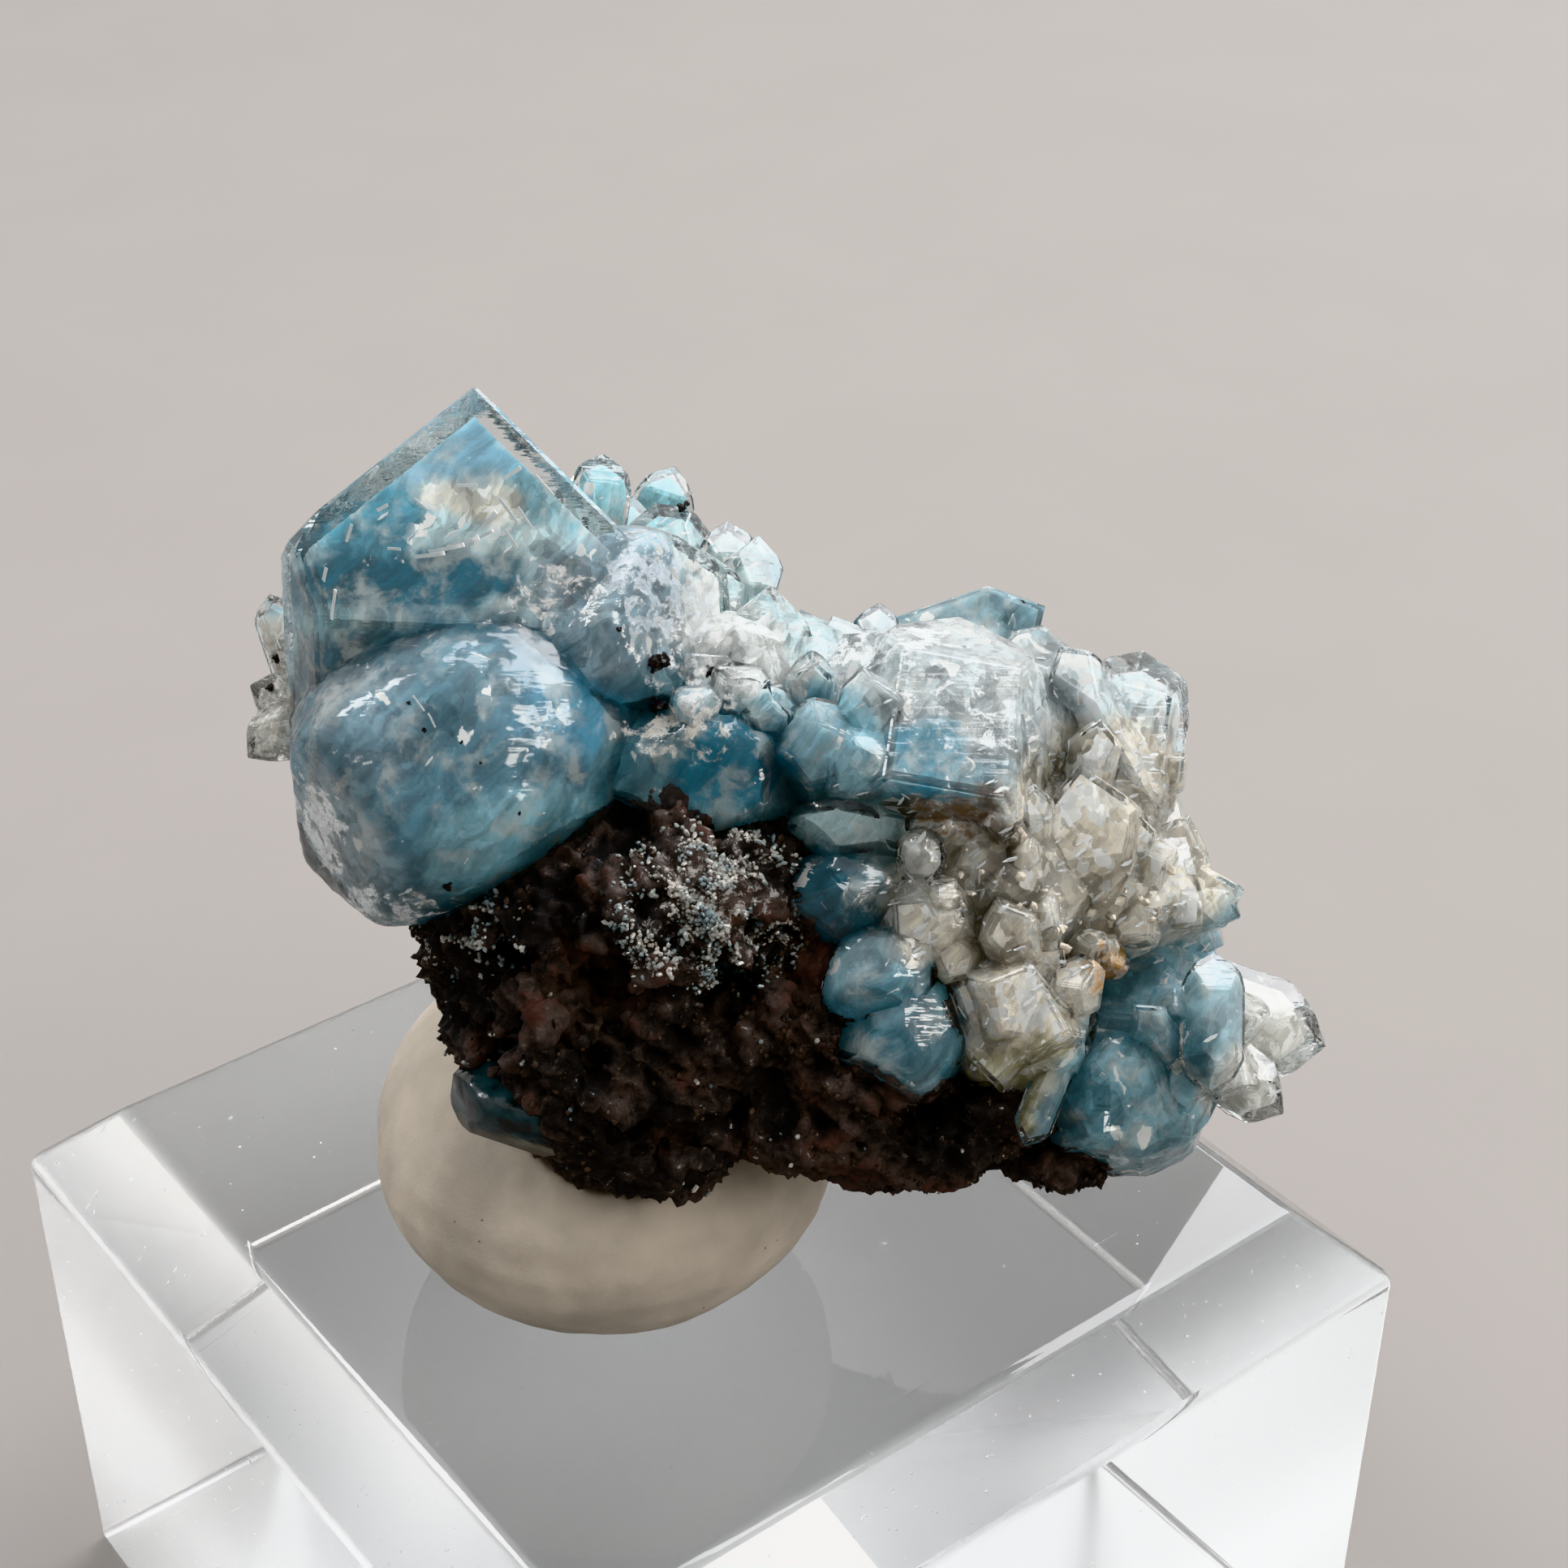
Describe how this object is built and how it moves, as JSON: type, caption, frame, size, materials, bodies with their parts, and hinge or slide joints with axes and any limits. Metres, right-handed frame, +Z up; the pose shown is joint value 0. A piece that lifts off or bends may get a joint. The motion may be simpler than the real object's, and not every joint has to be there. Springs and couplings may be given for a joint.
{
  "type": "mineral specimen on a display block",
  "caption": "Blue-included quartz crystals on dark rock, pressed into a ball of mineral tack on a clear acrylic display block.",
  "frame": {"origin": "centre of the acrylic block's underside", "axes": "+Z up; X and Y along the block's square sides; the specimen's best face looks towards -X -Y, tilted up"},
  "size_m": [0.038, 0.041, 0.0583],
  "materials": {
    "acrylic_block": "clear polished acrylic",
    "mineral_tack": "matte putty",
    "matrix_rock": "rough vuggy rock",
    "quartz_cluster": "clear to milky quartz with blue inclusions",
    "lower_crystal": "dark teal quartz"
  },
  "bodies": {
    "root": {"acrylic_block": "acrylic_block", "mineral_tack": "mineral_tack", "matrix_rock": "matrix_rock", "quartz_cluster": "quartz_cluster", "lower_crystal": "lower_crystal"}
  },
  "joints": []
}
